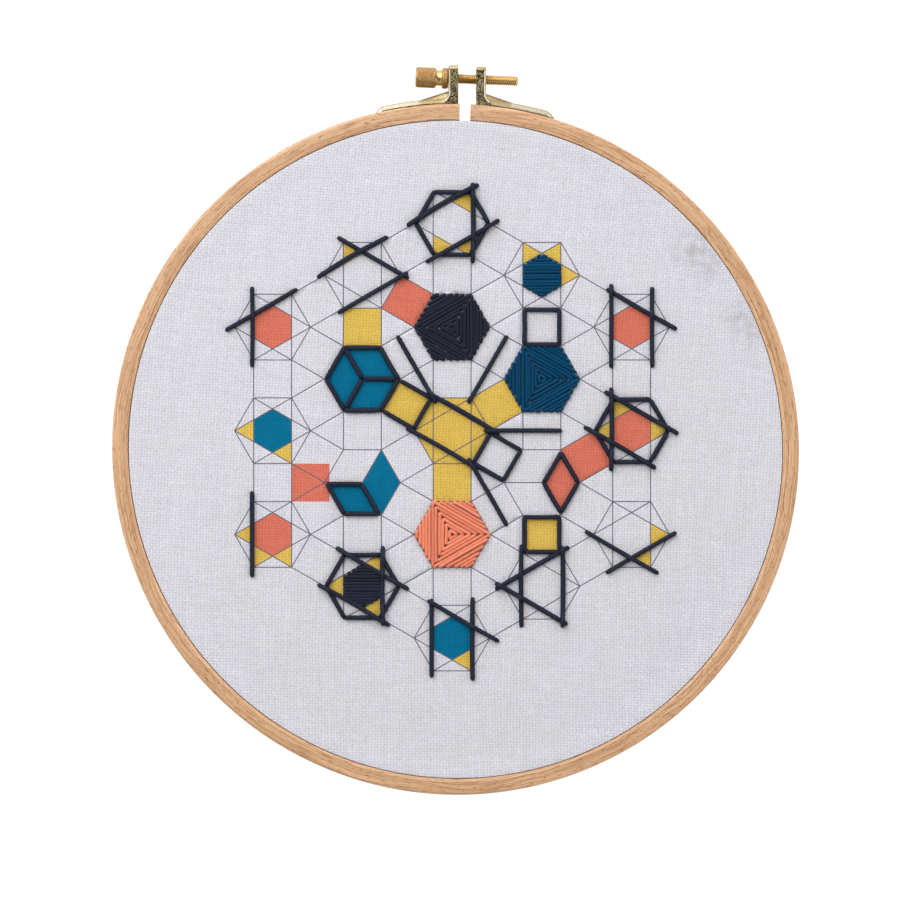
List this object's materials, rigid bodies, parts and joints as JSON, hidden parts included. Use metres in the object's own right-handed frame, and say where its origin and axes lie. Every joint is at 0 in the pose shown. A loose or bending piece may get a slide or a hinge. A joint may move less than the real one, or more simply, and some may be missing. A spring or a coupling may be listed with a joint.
{
  "type": "embroidery hoop with stretched embroidered cloth",
  "caption": "Round split wooden embroidery hoop with brass tension screw, holding a taut cloth worked in satin blocks and straight stitches.",
  "frame": {"origin": "middle of the object's outline on the plane of the hoops' back faces", "axes": "+Z out of the worked face, +Y towards the tension screw, +X to the right seen from the front"},
  "size_m": [0.2034, 0.2152, 0.0101],
  "materials": {
    "beech": "smooth unvarnished bentwood with fine dark flecks",
    "cloth": "matt white cotton evenweave",
    "plated_brass": "pale plated sheet, satin",
    "brass": "turned and knurled, satin",
    "navy": "stranded cotton, soft sheen",
    "petrol": "stranded cotton, soft sheen",
    "coral": "stranded cotton, soft sheen"
  },
  "bodies": {
    "hoop": {"outer_hoop": "beech", "inner_hoop": "beech", "cloth": "cloth", "bracket_left": "plated_brass", "bracket_right": "plated_brass", "satin_navy_left": "navy", "satin_navy_right": "navy", "satin_navy_lower": "navy", "satin_petrol_upper": "petrol", "satin_petrol_left": "petrol", "satin_petrol_lower": "petrol", "satin_coral_upper": "coral", "satin_coral_left": "coral", "satin_coral_lower": "coral", "satin_heart_navy": "navy", "satin_heart_petrol": "petrol", "line_hexagon_upper_left": "navy", "line_hexagon_top": "navy", "line_hexagon_right": "navy", "line_hexagon_lower_left": "navy", "line_square_upper_left": "navy", "line_square_lower_right": "navy", "line_square_upper_right": "navy", "line_square_lower": "navy", "line_rhombus_right": "navy", "line_rhombus_lower_left": "navy"},
    "screw": {"thumb_screw": "brass"}
  },
  "joints": [
    {"name": "screw_turn", "type": "hinge", "parent": "hoop", "child": "screw", "pos_m": [0.00355, 0.10365, 0.0045], "axis": [0.9992, -0.0401, 0], "continuous": true}
  ]
}
